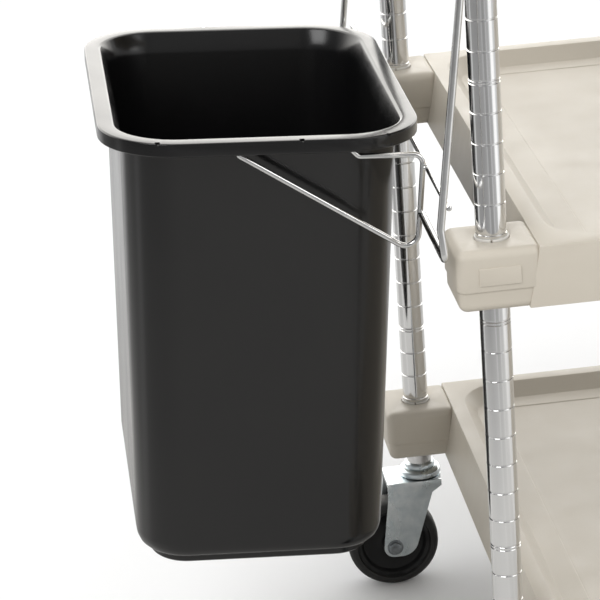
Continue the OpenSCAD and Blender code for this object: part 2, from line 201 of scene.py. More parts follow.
world = bpy.data.worlds.new("studio")
bpy.context.scene.world = world
world.use_nodes = True
tree = world.node_tree
sky = tree.nodes["Background"]
sky.inputs["Strength"].default_value = 1.0
place = add(tree, "TexCoord")
axes = add(tree, "SeparateXYZ")
ray = add(tree, "LightPath")
seen = add(tree, "Mix", data_type="RGBA")
seen.inputs["A"].default_value = (DOME, DOME, DOME, 1)
seen.inputs["B"].default_value = (1.0, 1.0, 1.0, 1)
look = add(tree, "Mix", data_type="RGBA")
panel = add(tree, "Mix", data_type="RGBA")
panel.inputs["B"].default_value = (BACK_PANEL, BACK_PANEL * 0.98, BACK_PANEL * 0.94, 1)
way = bearing(tree, axes.outputs["X"], axes.outputs["Y"])
behind = ramp(tree, way, [(0.0, 1.0), (0.16, 1.0), (0.24, 0.0), (0.78, 0.0), (0.86, 1.0)])
join(tree, (place.outputs["Generated"], axes.inputs[0]), (behind, panel.inputs["Factor"]),
     (ray.outputs["Is Glossy Ray"], look.inputs["Factor"]),
     (ray.outputs["Is Camera Ray"], seen.inputs["Factor"]), (seen.outputs["Result"], look.inputs["A"]),
     (ramp(tree, way, WEDGES), panel.inputs["A"]), (panel.outputs["Result"], look.inputs["B"]),
     (look.outputs["Result"], sky.inputs["Color"]))


# %% Lamps
def lamp(name, place, target, size, power):
    light = bpy.data.lights.new(name, "AREA")
    light.shape = "SQUARE"
    light.size = size
    light.energy = power
    obj = bpy.data.objects.new(name, light)
    obj.location = place
    obj.rotation_euler = (Vector(target) - Vector(place)).to_track_quat("-Z", "Y").to_euler()
    bpy.context.scene.collection.objects.link(obj)
    return obj


lamp("key", (-2.2, -2.4, 3.2), (0, 0, 0.5), 2.0, 60)
lamp("fill", (2.6, -2.0, 2.4), (0, 0, 0.5), 2.0, 22)

# %% [markdown]
# ## Shared surface effects
# Each effect is one group. Grain is the fine texture that a mould leaves on plastic. Mottling is the slow
# change of shade over any real surface. Edge wear lightens sharp edges, where handling rubs, and also paints
# a highlight on them where light would catch; dust settles on faces that look up. Smears make a polished or
# plated surface a little uneven, as fingers and cloths do.
# All of them read the object's own coordinates in metres, so they have the same size on every piece.

# %% Grain
grain, takes, gives = start_group("mould_grain", [("Scale", "Float", 900.0), ("Depth", "Float", 0.15)],
                                  [("Normal", "Vector")])
where = add(grain, "TexCoord")
fine = add(grain, "TexNoise")
fine.inputs["Detail"].default_value = 3.0
bump = add(grain, "Bump")
bump.inputs["Distance"].default_value = 0.0004
join(grain, (where.outputs["Object"], fine.inputs["Vector"]), (takes["Scale"], fine.inputs["Scale"]),
     (fine.outputs["Fac"], bump.inputs["Height"]), (takes["Depth"], bump.inputs["Strength"]),
     (bump.outputs["Normal"], gives["Normal"]))

# %% Mottling
mottle, takes, gives = start_group(
    "mottling",
    [("Light", "Color", (1, 1, 1, 1)), ("Dark", "Color", (0.5, 0.5, 0.5, 1)), ("Scale", "Float", 9.0)],
    [("Color", "Color")])
where = add(mottle, "TexCoord")
slow = add(mottle, "TexNoise")
slow.inputs["Detail"].default_value = 4.0
spread = add(mottle, "MapRange")
spread.inputs["From Min"].default_value = 0.32
spread.inputs["From Max"].default_value = 0.68
blend = add(mottle, "Mix", data_type="RGBA")
join(mottle, (where.outputs["Object"], slow.inputs["Vector"]), (takes["Scale"], slow.inputs["Scale"]),
     (slow.outputs["Fac"], spread.inputs["Value"]), (spread.outputs["Result"], blend.inputs["Factor"]),
     (takes["Dark"], blend.inputs["A"]), (takes["Light"], blend.inputs["B"]),
     (blend.outputs["Result"], gives["Color"]))

# %% Edge wear and painted edge highlight
# Sharp edges, in patches, get a lighter colour: partly wear, and partly a painted highlight where edges catch
# the light.
wear_and_highlight, takes, gives = start_group("edge_wear_and_highlight", [("Amount", "Float", 0.5)], [("Mask", "Float")])
where = add(wear_and_highlight, "TexCoord")
shape = add(wear_and_highlight, "NewGeometry")
sharp = add(wear_and_highlight, "MapRange")
sharp.inputs["From Min"].default_value = 0.53
sharp.inputs["From Max"].default_value = 0.60
patchy = add(wear_and_highlight, "TexNoise")
patchy.inputs["Scale"].default_value = 70.0
patches = add(wear_and_highlight, "MapRange")
patches.inputs["From Min"].default_value = 0.40
patches.inputs["From Max"].default_value = 0.62
both = add(wear_and_highlight, "Math", operation="MULTIPLY")
much = add(wear_and_highlight, "Math", operation="MULTIPLY")
join(wear_and_highlight, (shape.outputs["Pointiness"], sharp.inputs["Value"]),
     (where.outputs["Object"], patchy.inputs["Vector"]),
     (patchy.outputs["Fac"], patches.inputs["Value"]), (sharp.outputs["Result"], both.inputs[0]),
     (patches.outputs["Result"], both.inputs[1]), (both.outputs[0], much.inputs[0]),
     (takes["Amount"], much.inputs[1]), (much.outputs[0], gives["Mask"]))

# %% Dust
dust, takes, gives = start_group("dust", [("Amount", "Float", 0.3)], [("Mask", "Float")])
where = add(dust, "TexCoord")
shape = add(dust, "NewGeometry")
parts = add(dust, "SeparateXYZ")
upward = add(dust, "MapRange")
upward.inputs["From Min"].default_value = 0.55
upward.inputs["From Max"].default_value = 1.0
settled = add(dust, "TexNoise")
settled.inputs["Scale"].default_value = 24.0
settled.inputs["Detail"].default_value = 8.0
clumps = add(dust, "MapRange")
clumps.inputs["From Min"].default_value = 0.42
clumps.inputs["From Max"].default_value = 0.72
both = add(dust, "Math", operation="MULTIPLY")
much = add(dust, "Math", operation="MULTIPLY")
join(dust, (shape.outputs["Normal"], parts.inputs[0]), (parts.outputs["Z"], upward.inputs["Value"]),
     (where.outputs["Object"], settled.inputs["Vector"]), (settled.outputs["Fac"], clumps.inputs["Value"]),
     (upward.outputs["Result"], both.inputs[0]), (clumps.outputs["Result"], both.inputs[1]),
     (both.outputs[0], much.inputs[0]), (takes["Amount"], much.inputs[1]), (much.outputs[0], gives["Mask"]))

# %% Smears
smear, takes, gives = start_group(
    "smears", [("Scale", "Float", 30.0), ("Low", "Float", 0.1), ("High", "Float", 0.2)],
    [("Roughness", "Float")])
where = add(smear, "TexCoord")
drawn = add(smear, "Mapping")
drawn.inputs["Scale"].default_value = (1.0, 1.0, 0.35)
film = add(smear, "TexNoise")
film.inputs["Detail"].default_value = 6.0
film.inputs["Roughness"].default_value = 0.65
spread = add(smear, "MapRange")
spread.inputs["From Min"].default_value = 0.35
spread.inputs["From Max"].default_value = 0.65
join(smear, (where.outputs["Object"], drawn.inputs["Vector"]), (drawn.outputs[0], film.inputs["Vector"]),
     (takes["Scale"], film.inputs["Scale"]), (film.outputs["Fac"], spread.inputs["Value"]),
     (takes["Low"], spread.inputs["To Min"]), (takes["High"], spread.inputs["To Max"]),
     (spread.outputs["Result"], gives["Roughness"]))
print("shared effects", [g.name for g in bpy.data.node_groups])

# %% [markdown]
# ## Finishes
# Ten finishes cover the cart. Each mixes two close shades of its own colour, lightens sharp edges for wear
# and for a painted edge highlight, adds a little dust on top, and varies its gloss. What is the same all over
# a surface, such as the strength of its shine or a metal's metallic value, is set straight on the shader.

# %% Building a finish
finish = {}


def surface(name, light, dark, rough, metal=0.0, patch=9.0, texture=(900.0, 0.15), worn_and_lit_edge=((1, 1, 1), 0.0),
            dusty=0.0, smears=30.0, **fixed):
    """A finish: two shades, a range of roughness, grain (scale, depth), edges lightened for wear and a
    painted highlight (colour, amount), dust.
    """
    mat = bpy.data.materials.new(name)
    mat.use_nodes = True
    tree = mat.node_tree
    shader = tree.nodes["Principled BSDF"]
    shader.inputs["Metallic"].default_value = metal
    for key, value in fixed.items():
        shader.inputs[key.replace("_", " ")].default_value = value

    def use(shared, **values):
        node = add(tree, "Group", node_tree=shared)
        for key, value in values.items():
            node.inputs[key].default_value = value
        return node

    shade = use(mottle, Light=(*light, 1), Dark=(*dark, 1), Scale=patch)
    # The lighter colour on sharp edges stands for wear and also for a painted edge highlight.
    rubbed_and_lit = add(tree, "Mix", data_type="RGBA")
    rubbed_and_lit.inputs["B"].default_value = (*worn_and_lit_edge[0], 1)
    powder = add(tree, "Mix", data_type="RGBA")
    powder.inputs["B"].default_value = (0.62, 0.60, 0.56, 1)
    gloss = use(smear, Scale=smears, Low=rough[0], High=rough[1])
    join(tree, (shade.outputs[0], rubbed_and_lit.inputs["A"]),
         (use(wear_and_highlight, Amount=worn_and_lit_edge[1]).outputs[0], rubbed_and_lit.inputs["Factor"]),
         (rubbed_and_lit.outputs["Result"], powder.inputs["A"]),
         (use(dust, Amount=dusty).outputs[0], powder.inputs["Factor"]),
         (powder.outputs["Result"], shader.inputs["Base Color"]),
         (gloss.outputs[0], shader.inputs["Roughness"]),
         (use(grain, Scale=texture[0], Depth=texture[1]).outputs[0], shader.inputs["Normal"]))
    finish[name] = mat
    return mat


# %% Plastics and rubber
# Each finish's edge colour and amount lighten sharp edges, for wear and for a painted edge highlight.
surface("shelf_plastic", (0.555, 0.51, 0.435), (0.54, 0.495, 0.42), (0.40, 0.48), patch=14,
        texture=(1300, 0.22), worn_and_lit_edge=((0.66, 0.61, 0.54), 0.35), dusty=0.05)
surface("sleeve_plastic", (0.66, 0.64, 0.60), (0.60, 0.58, 0.54), (0.28, 0.4), texture=(700, 0.1),
        worn_and_lit_edge=((0.8, 0.78, 0.74), 0.3))
surface("cap_plastic", (0.024, 0.024, 0.025), (0.016, 0.016, 0.017), (0.35, 0.5), texture=(1100, 0.2),
        worn_and_lit_edge=((0.07, 0.07, 0.07), 0.5), dusty=0.1)
surface("wheel_plastic", (0.012, 0.012, 0.012), (0.007, 0.007, 0.008), (0.35, 0.55), texture=(900, 0.15),
        worn_and_lit_edge=((0.05, 0.05, 0.05), 0.5), dusty=0.06, Specular_IOR_Level=0.3)
surface("tyre_rubber", (0.030, 0.029, 0.028), (0.018, 0.018, 0.018), (0.5, 0.75), patch=40,
        texture=(600, 0.35), worn_and_lit_edge=((0.09, 0.088, 0.082), 0.7), dusty=0.12, Specular_IOR_Level=0.35)
surface("bin_plastic", (0.0055, 0.0055, 0.0055), (0.0035, 0.0035, 0.0038), (0.16, 0.26), patch=6,
        texture=(420, 0.05), worn_and_lit_edge=((0.03, 0.03, 0.03), 0.4), dusty=0.012, smears=9.0)

# %% Metals
surface("post_chrome", (0.80, 0.80, 0.80), (0.77, 0.77, 0.77), (0.10, 0.15), metal=1.0, patch=25,
        texture=(900, 0.01), smears=18.0)
surface("wire_chrome", (0.78, 0.78, 0.77), (0.68, 0.68, 0.68), (0.06, 0.16), metal=1.0, patch=60,
        texture=(500, 0.06), smears=60.0)
# The zinc finishes' edge colour and amount lighten sharp edges, for wear and for a painted edge highlight.
surface("caster_zinc", (0.70, 0.75, 0.77), (0.56, 0.62, 0.65), (0.22, 0.42), metal=1.0, patch=95,
        texture=(420, 0.10), worn_and_lit_edge=((0.85, 0.86, 0.86), 0.6), dusty=0.05, smears=45.0)
surface("bolt_zinc", (0.34, 0.37, 0.39), (0.16, 0.17, 0.18), (0.25, 0.45), metal=1.0, patch=160,
        texture=(700, 0.15), worn_and_lit_edge=((0.55, 0.57, 0.58), 0.6), smears=70.0)
for part in frame["record"]["subparts"]:
    node = frame["nodes"][part["node"]]
    node.data.materials.clear()
    node.data.materials.append(finish[part["material_slot"]])
print("finishes", sorted(finish))

# %% [markdown]
# ## Small tools for modelling
# Every operator works on what is selected, so each helper first makes its selection from places and
# normals, as a hand would with the mouse. A finished piece keeps its object at the world's origin, with its
# place in its mesh, then rides on a body of the frame and hides the plain node that it stands for.

# %% Selecting
def edit(obj):
    if bpy.context.object and bpy.context.object.mode == "EDIT":
        bpy.ops.object.mode_set(mode="OBJECT")
    bpy.ops.object.select_all(action="DESELECT")
    obj.select_set(True)
    bpy.context.view_layer.objects.active = obj
    bpy.ops.object.mode_set(mode="EDIT")


def pick(obj, kind, test):
    """In edit mode, select the elements that pass a test: test(place) for VERT, test(end, end) for EDGE,
    test(middle, normal) for FACE. Places are in the object's own coordinates."""
    bpy.ops.mesh.select_mode(type=kind)
    bpy.ops.mesh.select_all(action="DESELECT")
    mesh = bmesh.from_edit_mesh(obj.data)
    if kind == "VERT":
        chosen = [v for v in mesh.verts if test(v.co)]
    elif kind == "EDGE":
        chosen = [e for e in mesh.edges if test(e.verts[0].co, e.verts[1].co)]
    else:
        chosen = [f for f in mesh.faces if test(f.calc_center_median(), f.normal)]
    for element in chosen:
        element.select_set(True)
    mesh.select_flush_mode()
    bmesh.update_edit_mesh(obj.data)
    return len(chosen)


def near(a, b, slack=0.0002):
    return abs(a - b) < slack


# %% Moving, finishing and copying
def push(value):
    bpy.ops.mesh.extrude_region_move(TRANSFORM_OT_translate={"value": value})


def grow(factors, middle):
    bpy.ops.transform.resize(value=factors, center_override=middle)


def modify(obj, kind, **settings):
    if obj.mode == "EDIT":
        bpy.ops.object.mode_set(mode="OBJECT")
    mod = obj.modifiers.new(kind.lower(), kind)
    for key, value in settings.items():
        setattr(mod, key, value)
    bpy.ops.object.select_all(action="DESELECT")
    obj.select_set(True)
    bpy.context.view_layer.objects.active = obj
    bpy.ops.object.modifier_apply(modifier=mod.name)


def tidy_mesh(obj):
    """Merge doubles and turn every face outwards."""
    edit(obj)
    bpy.ops.mesh.select_all(action="SELECT")
    bpy.ops.mesh.remove_doubles(threshold=0.00001)
    bpy.ops.mesh.normals_make_consistent(inside=False)
    bpy.ops.object.mode_set(mode="OBJECT")


def open_edges(obj):
    """How many edges don't join exactly two faces; a closed shell has none."""
    mesh = bmesh.new()
    mesh.from_mesh(obj.data)
    count = sum(1 for e in mesh.edges if len(e.link_faces) != 2)
    mesh.free()
    return count


def settle(obj, name, body, slot, nodes=(), angle=35):
    """Put the object's place into its mesh, smooth it, and give it a finish and a body to ride on."""
    if obj.mode == "EDIT":
        bpy.ops.object.mode_set(mode="OBJECT")
    bpy.ops.object.select_all(action="DESELECT")
    obj.select_set(True)
    bpy.context.view_layer.objects.active = obj
    bpy.ops.object.transform_apply(location=True, rotation=True, scale=True)
    bpy.ops.object.shade_smooth_by_angle(angle=math.radians(angle))
    obj.name = name
    obj.data.name = name
    obj.data.materials.clear()
    obj.data.materials.append(finish[slot])
    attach(obj, body)
    if nodes:
        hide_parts(*nodes)
    return obj


def duplicate(obj, name, shift, body, slot, nodes=(), angle=35):
    """A copy with its own mesh, moved by shift, that stands for its own nodes."""
    twin = obj.copy()
    twin.data = obj.data.copy()
    twin.parent = None
    for key in [k for k in twin.keys() if k.startswith("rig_")]:
        del twin[key]
    bpy.context.scene.collection.objects.link(twin)
    twin.matrix_world = Matrix.Translation(shift)
    return settle(twin, name, body, slot, nodes, angle)


def lathe(name, outline, steps=64):
    """Turn an outline of (radius, height) points about the vertical axis."""
    mesh = bpy.data.meshes.new(name)
    edges = [(i, i + 1) for i in range(len(outline) - 1)]
    mesh.from_pydata([(r, 0, z) for r, z in outline], edges, [])
    obj = bpy.data.objects.new(name, mesh)
    bpy.context.scene.collection.objects.link(obj)
    edit(obj)
    bpy.ops.mesh.select_all(action="SELECT")
    bpy.ops.mesh.spin(steps=steps, angle=2 * math.pi, center=(0, 0, 0), axis=(0, 0, 1))
    bpy.ops.object.mode_set(mode="OBJECT")
    tidy_mesh(obj)
    return obj


def arc(mid, radius, start, end, steps):
    """Points of an arc about mid, from one angle to another in degrees."""
    turns = [math.radians(start + (end - start) * i / steps) for i in range(steps + 1)]
    return [(mid[0] + radius * math.cos(t), mid[1] + radius * math.sin(t)) for t in turns]

# %% [markdown]
# ## Posts
# A post is a thin chromed steel tube. A ring is rolled into it each inch, and two close rings each eight
# inches, so that a shelf can be set level. The rings catch the light as thin bright lines, so they are
# real dents here. A circle is drawn at the foot and extruded upwards in steps, and drawn in at each ring.

# %% Posts
INCH = 0.0254
POST_SIDES = 64
DOUBLE_RING_Z = 0.284
RING_DEPTH, RING_W, RING_SLOPE = 0.5 * MM, 1.6 * MM, 0.35 * MM
DOUBLE_GAP = 2.7 * MM
POST_SMOOTH = 12  # degrees: round the tube, but not over the rings' edges, so its streaks run straight


def ring_heights(low, high):
    """Heights of the rings' middles between two heights."""
    heights = []
    first = math.ceil((low + 4 * MM - DOUBLE_RING_Z) / INCH)
    last = math.floor((high - 3 * MM - DOUBLE_RING_Z) / INCH)
    for step in range(first, last + 1):
        z = DOUBLE_RING_Z + step * INCH
        heights += [z - DOUBLE_GAP / 2, z + DOUBLE_GAP / 2] if step % 8 == 0 else [z]
    return heights


post_low, post_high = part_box("post_front_left")
post_mid = (post_low + post_high) / 2
post_r = (post_high.x - post_low.x) / 2
bpy.ops.mesh.primitive_circle_add(vertices=POST_SIDES, radius=post_r, fill_type="NGON",
                                  location=(post_mid.x, post_mid.y, post_low.z))
post = bpy.context.object
edit(post)
bpy.ops.mesh.select_all(action="SELECT")
height = post_low.z
for ring in ring_heights(post_low.z, post_high.z):
    steps = ((ring - RING_W / 2, 1), (ring - RING_W / 2 + RING_SLOPE, 1 - RING_DEPTH / post_r),
             (ring + RING_W / 2 - RING_SLOPE, 1), (ring + RING_W / 2, 1 / (1 - RING_DEPTH / post_r)))
    for top, factor in steps:
        push((0, 0, top - height))
        height = top
        if factor != 1:
            grow((factor, factor, 1), (post_mid.x, post_mid.y, height))
push((0, 0, post_high.z - height))
tidy_mesh(post)
modify(post, "BEVEL", width=0.2 * MM, segments=2, limit_method="ANGLE", angle_limit=math.radians(30))
settle(post, "post_front_left_tube", "frame", "post_chrome", ["post_front_left"], POST_SMOOTH)
for corner in CORNERS[1:]:
    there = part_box("post_" + corner)[0]
    duplicate(post, "post_" + corner + "_tube", there - post_low, "frame", "post_chrome",
              ["post_" + corner], POST_SMOOTH)
print("post", len(post.data.polygons), "faces,", len(ring_heights(post_low.z, post_high.z)), "rings")

# %% [markdown]
# ## More tools for modelling
# A block and a rounded plate are the two starts that most of the pieces grow from. Carving joins a piece
# with a second one or cuts the second away, and a wire is a bent line given a round section.

# %% Starts
def block_of(low, high):
    """A cube from one corner to the other, with its place in its mesh."""
    low, high = Vector(low), Vector(high)
    bpy.ops.object.select_all(action="DESELECT")
    bpy.ops.mesh.primitive_cube_add(size=1, location=(low + high) / 2, scale=high - low)
    bpy.ops.object.transform_apply(location=True, rotation=True, scale=True)
    return bpy.context.object


def rounded_plate(x, y, z, w, d, radius, steps=12):
    """A flat face of w by d about (x, y, z) with round corners, left in edit mode and all selected."""
    bpy.ops.object.select_all(action="DESELECT")
    bpy.ops.mesh.primitive_plane_add(size=1, location=(x, y, z))
    plate = bpy.context.object
    plate.scale = (w, d, 1)
    bpy.ops.object.transform_apply(location=True, rotation=True, scale=True)
    edit(plate)
    bpy.ops.mesh.select_mode(type="VERT")
    bpy.ops.mesh.select_all(action="SELECT")
    bpy.ops.mesh.bevel(offset=radius, segments=steps, affect="VERTICES")
    bpy.ops.mesh.select_mode(type="FACE")
    bpy.ops.mesh.select_all(action="SELECT")
    return plate


def carve(obj, tool, operation="DIFFERENCE"):
    modify(obj, "BOOLEAN", object=tool, operation=operation, solver="EXACT")
    bpy.data.objects.remove(tool)


def merge(obj, *others):
    """Put other objects' meshes into this one."""
    if bpy.context.object and bpy.context.object.mode == "EDIT":
        bpy.ops.object.mode_set(mode="OBJECT")
    bpy.ops.object.select_all(action="DESELECT")
    for piece in (obj, *others):
        piece.select_set(True)
    bpy.context.view_layer.objects.active = obj
    bpy.ops.object.join()
    return obj


# %% Bent wire
def bends(points, radii, steps, closed=False):
    """Points along a bent line: each corner is replaced by points on a round bend of its radius."""
    path = []
    count = len(points)
    for i, (here, radius) in enumerate(zip(points, radii)):
        if not closed and i in (0, count - 1):
            path.append(here)
            continue
        back = (points[i - 1] - here).normalized()
        on = (points[(i + 1) % count] - here).normalized()
        half = back.angle(on) / 2
        reach = radius / math.tan(half)
        middle = here + (back + on).normalized() * radius / math.sin(half)
        first, last = here + back * reach - middle, here + on * reach - middle
        sweep = first.angle(last)
        for k in range(steps + 1):
            t = sweep * k / steps
            path.append(middle + (first * math.sin(sweep - t) + last * math.sin(t)) / math.sin(sweep))
    return path


def wire(points, radius, closed=False, name="wire"):
    curve = bpy.data.curves.new(name, "CURVE")
    curve.dimensions = "3D"
    curve.bevel_depth = radius
    curve.bevel_resolution = 5
    curve.use_fill_caps = True
    line = curve.splines.new("POLY")
    line.points.add(len(points) - 1)
    for point, place in zip(line.points, points):
        point.co = (*place, 1)
    line.use_cyclic_u = closed
    obj = bpy.data.objects.new(name, curve)
    bpy.context.scene.collection.objects.link(obj)
    bpy.ops.object.select_all(action="DESELECT")
    obj.select_set(True)
    bpy.context.view_layer.objects.active = obj
    bpy.ops.object.convert(target="MESH")
    tidy_mesh(bpy.context.object)
    return bpy.context.object


def bead(place, radius, stretch=(1, 1, 1)):
    """A small lump of weld metal."""
    bpy.ops.object.select_all(action="DESELECT")
    bpy.ops.mesh.primitive_uv_sphere_add(segments=16, ring_count=10, radius=radius, location=place)
    obj = bpy.context.object
    edit(obj)
    pick(obj, "VERT", lambda p: p.x > 0)
    grow((1.15, 1, 1), place)
    bpy.ops.mesh.select_all(action="SELECT")
    grow(stretch, place)
    bpy.ops.object.mode_set(mode="OBJECT")
    return obj

# %% [markdown]
# ## Waste bin
# The bin is one moulded shell. Its rim turns out and down, so that it can sit on two wires, the wall steps in
# just under the rim, tapers to the foot, and the foot is set in so that bins stack. It is made from two
# rounded plates. The upper one is inset and pushed down step by step to make the inside. The lower one makes
# the hollow of the rim and the outer wall in the same way. Last, the two outer edges are bridged.

# %% Bin sizes
BIN_W, BIN_D, BIN_H = 269 * MM, 368 * MM, 392 * MM
BIN_LEAN = math.radians(4.1)
RIM_R, RIM_H = 66 * MM, 12 * MM
left_x, front_y = post_mid.x, post_mid.y
rim_mid = Vector((left_x - 170 * MM, 0, 0.635))

# %% Inside of the bin
inside = rounded_plate(0, 0, 0, BIN_W, BIN_D, RIM_R)
for thick, deep in ((13.5, 0), (1.2, -1.5), (5.3, -12), (1.5, -6)):
    bpy.ops.mesh.inset(thickness=thick * MM, depth=deep * MM)
push((0, 0, -0.345))
grow((0.925, 0.985, 1), (0, 0, 0))
for thick, deep in ((2, -3), (5, -4), (7, -2)):
    bpy.ops.mesh.inset(thickness=thick * MM, depth=deep * MM)
bpy.ops.object.mode_set(mode="OBJECT")

# %% Outside of the bin
outside = rounded_plate(0, 0, -RIM_H, BIN_W, BIN_D, RIM_R)
bpy.ops.mesh.flip_normals()
for thick, deep in ((3, 0), (0.5, -9), (7, 0), (8, 17)):
    bpy.ops.mesh.inset(thickness=thick * MM, depth=deep * MM)
push((0, 0, -(BIN_H - 20 * MM - 22 * MM)))
grow((0.936, 0.991, 1), (0, 0, 0))
for thick, deep in ((0.8, 5), (2.2, 5), (3.2, 3), (3.5, 1), (2.5, 0), (0.6, 6.6), (1.6, 1.4), (14, 0),
                    (2, -3)):
    bpy.ops.mesh.inset(thickness=thick * MM, depth=deep * MM)
bpy.ops.object.mode_set(mode="OBJECT")
print("outside foot at", min(v.co.z for v in outside.data.vertices), "of", -BIN_H)

# %% Join the rim and finish the bin
bin_shell = merge(inside, outside)
edit(bin_shell)
bpy.ops.mesh.select_mode(type="EDGE")
bpy.ops.mesh.select_all(action="DESELECT")
bpy.ops.mesh.select_non_manifold()
bpy.ops.mesh.bridge_edge_loops()
tidy_mesh(bin_shell)
print("open edges left on the bin:", open_edges(bin_shell))
modify(bin_shell, "BEVEL", width=2.4 * MM, segments=4, limit_method="ANGLE", angle_limit=math.radians(50))
edge_y = BIN_D / 2 / MM
for x, y in ((30, -edge_y), (103, -edge_y + 7), (-88, -edge_y + 3), (-20, edge_y)):
    bpy.ops.object.select_all(action="DESELECT")
    bpy.ops.mesh.primitive_cylinder_add(vertices=16, radius=2.2 * MM, depth=9 * MM,
                                        location=(x * MM, y * MM, 0.6 * MM),
                                        rotation=(math.radians(90), 0, 0))
    carve(bin_shell, bpy.context.object)
bin_shell.matrix_world = Matrix.Translation(rim_mid) @ Matrix.Rotation(BIN_LEAN, 4, "Y")
settle(bin_shell, "bin_shell", "waste_bin", "bin_plastic", ["bin"], angle=30)
print("bin", len(bin_shell.data.polygons), "faces")

# %% [markdown]
# ## Wire holder
# The holder is bent from round bar and spot welded. A long hanger on each side hooks round a post above the
# top shelf, leans down past the shelf block, and turns in to meet a triangular arm. The arms carry the rim,
# and a rod ties them across. Each bar is a line with round bends, given a round section, with a small bead
# of weld metal where two bars meet.

# %% Hangers and arms
HANGER_R, ARM_R = 3.175 * MM, 2.4 * MM
slope = math.tan(BIN_LEAN)


def at_post(x, y, z):
    """A place measured from the left front post's axis in X and Y and from the floor in Z, in mm."""
    return Vector((left_x + x * MM, y * MM, z * MM))


def under_rim(x):
    return 635 - (x + 170) * slope - 3 / math.cos(BIN_LEAN) - 2.7


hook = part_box("holder_hanger_front")[1].z / MM - 3.175
for side, name in ((-1, "front"), (1, "rear")):
    post_y = side * 254
    out_y, arm_y = side * (254 + 39.6), side * (254 - 78.5)
    top_x = -46.8 + (hook - 583) * 0.13
    hook_r = 12.7 + 3.175 + 1.6
    line = bends([at_post(hook_r, post_y - side * 14, hook), at_post(hook_r, post_y + side * 12, hook),
                  at_post(top_x, out_y, hook), at_post(-46.8, out_y, 583), at_post(-44.3, out_y, 556),
                  at_post(-44.3, arm_y - side * -2.2, 556)], [0, 8 * MM, 8 * MM, 12 * MM, 7 * MM, 0], 8)
    bar = merge(wire(line, HANGER_R), bead(at_post(-45.2, arm_y + side * 2.6, 556), 3.4 * MM, (1, 1, 0.8)))
    settle(bar, "holder_hanger_bar_" + name, "holder", "wire_chrome", ["holder_hanger_" + name], angle=60)
    jog_z = 607.6 + 54 * slope
    line = bends([at_post(-49.6, arm_y, 520.6), at_post(-40, arm_y, 607.6), at_post(-94, arm_y, jog_z),
                  at_post(-105, arm_y, under_rim(-105)), at_post(-205.4, arm_y, under_rim(-205.4))],
                 [11 * MM, 8 * MM, 5 * MM, 5 * MM, 5 * MM], 8, closed=True)
    weld = bead(at_post(-39.6, arm_y - side * 0.4, 596), 2.9 * MM, (1, 1.3, 1))
    arm = merge(wire(line, ARM_R, closed=True), weld)
    settle(arm, "holder_arm_bar_" + name, "holder", "wire_chrome", ["holder_arm_" + name], angle=60)

# %% Cross rod
bpy.ops.object.select_all(action="DESELECT")
bpy.ops.mesh.primitive_cylinder_add(vertices=24, radius=ARM_R, depth=568 * MM, end_fill_type="NGON",
                                    location=at_post(-37.6, 0, 596), rotation=(math.radians(90), 0, 0))
cross = bpy.context.object
modify(cross, "BEVEL", width=1.6 * MM, segments=4, limit_method="ANGLE", angle_limit=math.radians(60))
settle(cross, "holder_cross_bar", "holder", "wire_chrome", ["holder_cross_rod"], angle=40)
print("holder done")

# %% [markdown]
# ## Shelves
# A shelf is one heavy moulding: a shallow tray with a sloped wall and a second shallow step, drafted ends
# that stand in from the posts, ribs below, and a corner block round each post. The slab is one block with
# the tray's hollow and the pockets between the ribs cut out of it. The corner blocks are bored to a cone and
# softened by themselves, and their inner sides are sunk in the slab's ends, so every shell stays closed.

# %% Slab, tray and ribs
SHELF_H, BLOCK = 52 * MM, 35 * MM
right_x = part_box("post_front_right")[0].x + post_r
top_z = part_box("shelf_bottom")[1].z
mid_x = (left_x + right_x) / 2
tray_w, tray_d = right_x - left_x - 94 * MM, 548 * MM
FLUSH = 0.25 * MM
shelf = block_of((left_x + 33 * MM, front_y - BLOCK + FLUSH, top_z - SHELF_H + FLUSH),
                 (right_x - 33 * MM, -front_y + BLOCK - FLUSH, top_z - FLUSH))
edit(shelf)
for sign in (-1, 1):
    pick(shelf, "VERT", lambda p: p.z < top_z - 0.02 and (p.x - mid_x) * sign > 0)
    bpy.ops.transform.translate(value=(sign * 10 * MM, 0, 0))
bpy.ops.object.mode_set(mode="OBJECT")
hollow = rounded_plate(mid_x, 0, top_z, tray_w, tray_d, 47 * MM, 10)
bpy.ops.mesh.flip_normals()
for thick, deep in ((13, 14), (22, 0), (0.8, 1)):
    bpy.ops.mesh.inset(thickness=thick * MM, depth=deep * MM)
bpy.ops.mesh.select_all(action="DESELECT")
bpy.ops.mesh.select_mode(type="EDGE")
bpy.ops.mesh.select_non_manifold()
push((0, 0, 6 * MM))
bpy.ops.mesh.edge_face_add()
tidy_mesh(hollow)
carve(shelf, hollow)
pocket_w, pocket_d = (right_x - left_x - 80 * MM + 3 * MM) / 7, (570 * MM + 3 * MM) / 6
pocket = block_of((left_x + 40 * MM, front_y - 31 * MM, top_z - SHELF_H - 4 * MM),
                  (left_x + 37 * MM + pocket_w, front_y - 34 * MM + pocket_d, top_z - 19 * MM))
edit(pocket)
pick(pocket, "VERT", lambda p: p.z > top_z - 0.03)
grow((0.97, 0.97, 1), (left_x + 38.5 * MM + pocket_w / 2, front_y - 32.5 * MM + pocket_d / 2, 0))
modify(pocket, "ARRAY", count=7, use_relative_offset=False, use_constant_offset=True,
       constant_offset_displace=(pocket_w, 0, 0))
modify(pocket, "ARRAY", count=6, use_relative_offset=False, use_constant_offset=True,
       constant_offset_displace=(0, pocket_d, 0))
carve(shelf, pocket)
tidy_mesh(shelf)
modify(shelf, "BEVEL", width=0.9 * MM, segments=3, limit_method="ANGLE", angle_limit=math.radians(38))
print("slab", len(shelf.data.polygons), "faces, open edges", open_edges(shelf))

# %% Corner blocks
STEP = 34 * MM


